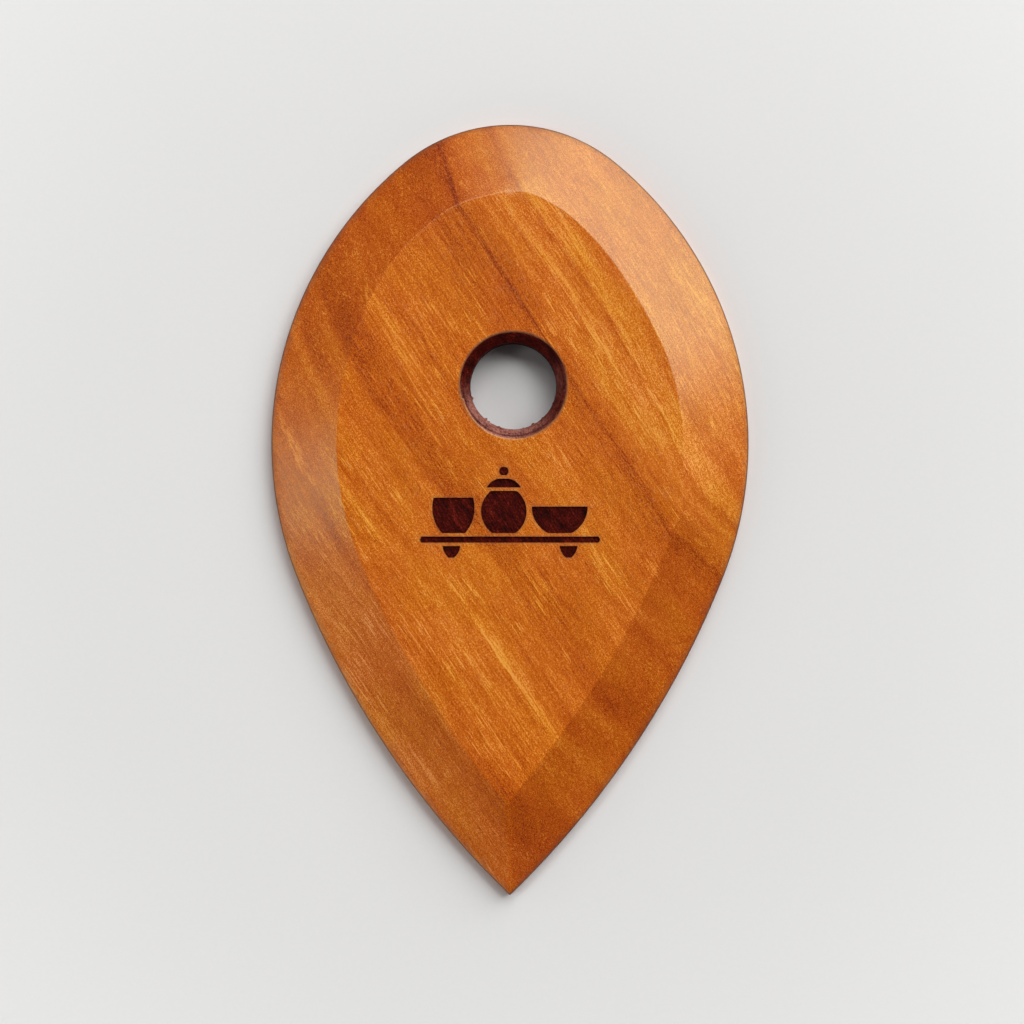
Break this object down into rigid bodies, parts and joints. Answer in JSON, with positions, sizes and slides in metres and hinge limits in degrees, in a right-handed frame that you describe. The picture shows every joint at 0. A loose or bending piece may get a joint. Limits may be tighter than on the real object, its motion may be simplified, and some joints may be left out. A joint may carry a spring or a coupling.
{
  "type": "pottery rib",
  "caption": "Teardrop wooden potter's rib with a bevelled front, a thin working edge and a thumb hole, for smoothing and shaping clay.",
  "frame": {"origin": "middle of the length and width, on the flat back that the rib lies on", "axes": "+Y towards the round end, -Y towards the pointed end, +Z out of the bevelled front, +X to the right when the front is seen with the round end up"},
  "size_m": [0.0708, 0.1142, 0.0063],
  "materials": {
    "cherry_wood": "oiled, hand-sanded cherry wood"
  },
  "bodies": {
    "root": {"wooden_rib": "cherry_wood"}
  },
  "joints": []
}
